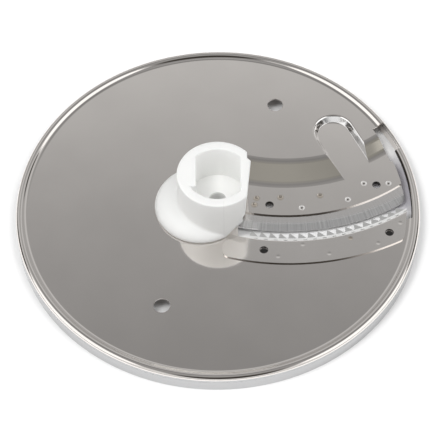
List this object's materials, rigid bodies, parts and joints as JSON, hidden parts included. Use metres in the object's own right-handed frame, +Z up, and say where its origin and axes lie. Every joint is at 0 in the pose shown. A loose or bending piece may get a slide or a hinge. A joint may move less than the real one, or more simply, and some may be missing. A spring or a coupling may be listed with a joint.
{
  "type": "food processor disc",
  "caption": "Round pressed-steel food processor disc with a curved slicing blade, a toothed julienne comb and a white plastic drive hub with a D-shaped socket.",
  "frame": {"origin": "on the disc's axis, at the level of the skirt's lower edge", "axes": "+Z up the axis towards the drive socket, +X along the feed slot from the hub to the rim, +Y to the side the deck is on"},
  "size_m": [0.18, 0.18, 0.0312],
  "materials": {
    "disc_steel": "polished",
    "blade_steel": "ground and polished",
    "comb_steel": "polished",
    "hub_plastic": "smooth satin white"
  },
  "bodies": {
    "root": {"disc_plate": "disc_steel", "slicing_blade": "blade_steel", "julienne_comb": "comb_steel", "hub": "hub_plastic"}
  },
  "joints": []
}
